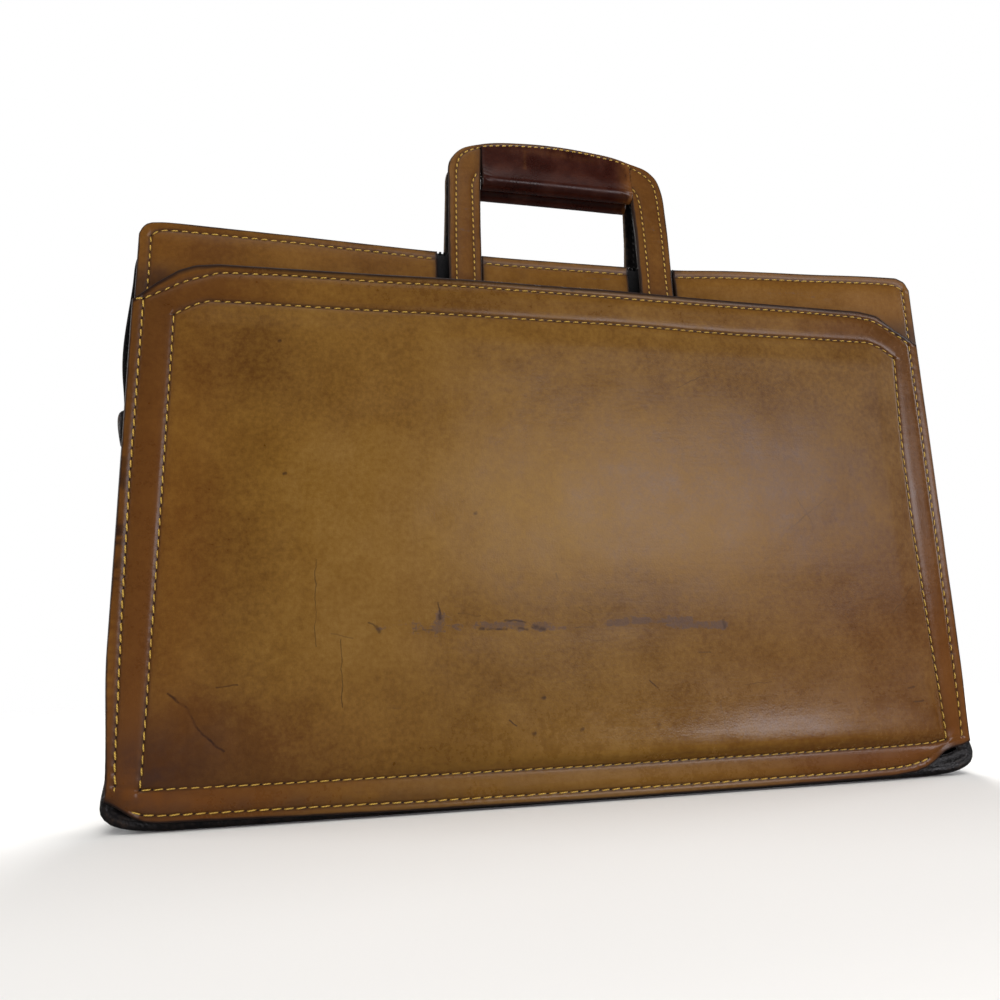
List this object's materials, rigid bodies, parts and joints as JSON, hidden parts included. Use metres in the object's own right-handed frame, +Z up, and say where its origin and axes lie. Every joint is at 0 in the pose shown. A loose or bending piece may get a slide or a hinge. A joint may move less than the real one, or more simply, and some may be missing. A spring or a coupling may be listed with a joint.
{
  "type": "leather document case",
  "caption": "Slim zip-top leather document case with an outer slip pocket on each face, black gusset and paired rolled-grip handles.",
  "frame": {"origin": "middle of the bottom of the whole object's box, on the flat underside of the gusset that it stands on", "axes": "+X along the width, with the zip's tail at -X; +Y from the front towards the rear; +Z up towards the handles"},
  "size_m": [0.4384, 0.0472, 0.3586],
  "materials": {
    "tan_leather": "smooth vegetable-tanned hide, worn and waxed, burnished dark edges",
    "pocket_leather": "smooth vegetable-tanned hide, scuffed, soft sheen",
    "black_leather": "thin black hide, creased, semi-gloss",
    "zip_weave": "matte black woven tape",
    "grip_leather": "dark red-brown hide, polished by the hand"
  },
  "bodies": {
    "root": {"front_panel": "tan_leather", "front_pocket": "pocket_leather", "rear_panel": "tan_leather", "rear_pocket": "pocket_leather", "gusset": "black_leather", "zip_tape_front": "zip_weave", "zip_tape_rear": "zip_weave", "zip_tail": "zip_weave", "zip_end_tab": "black_leather", "front_handle": "tan_leather", "front_handle_backing": "black_leather", "front_grip": "grip_leather", "rear_handle": "tan_leather", "rear_handle_backing": "black_leather", "rear_grip": "grip_leather"}
  },
  "joints": []
}
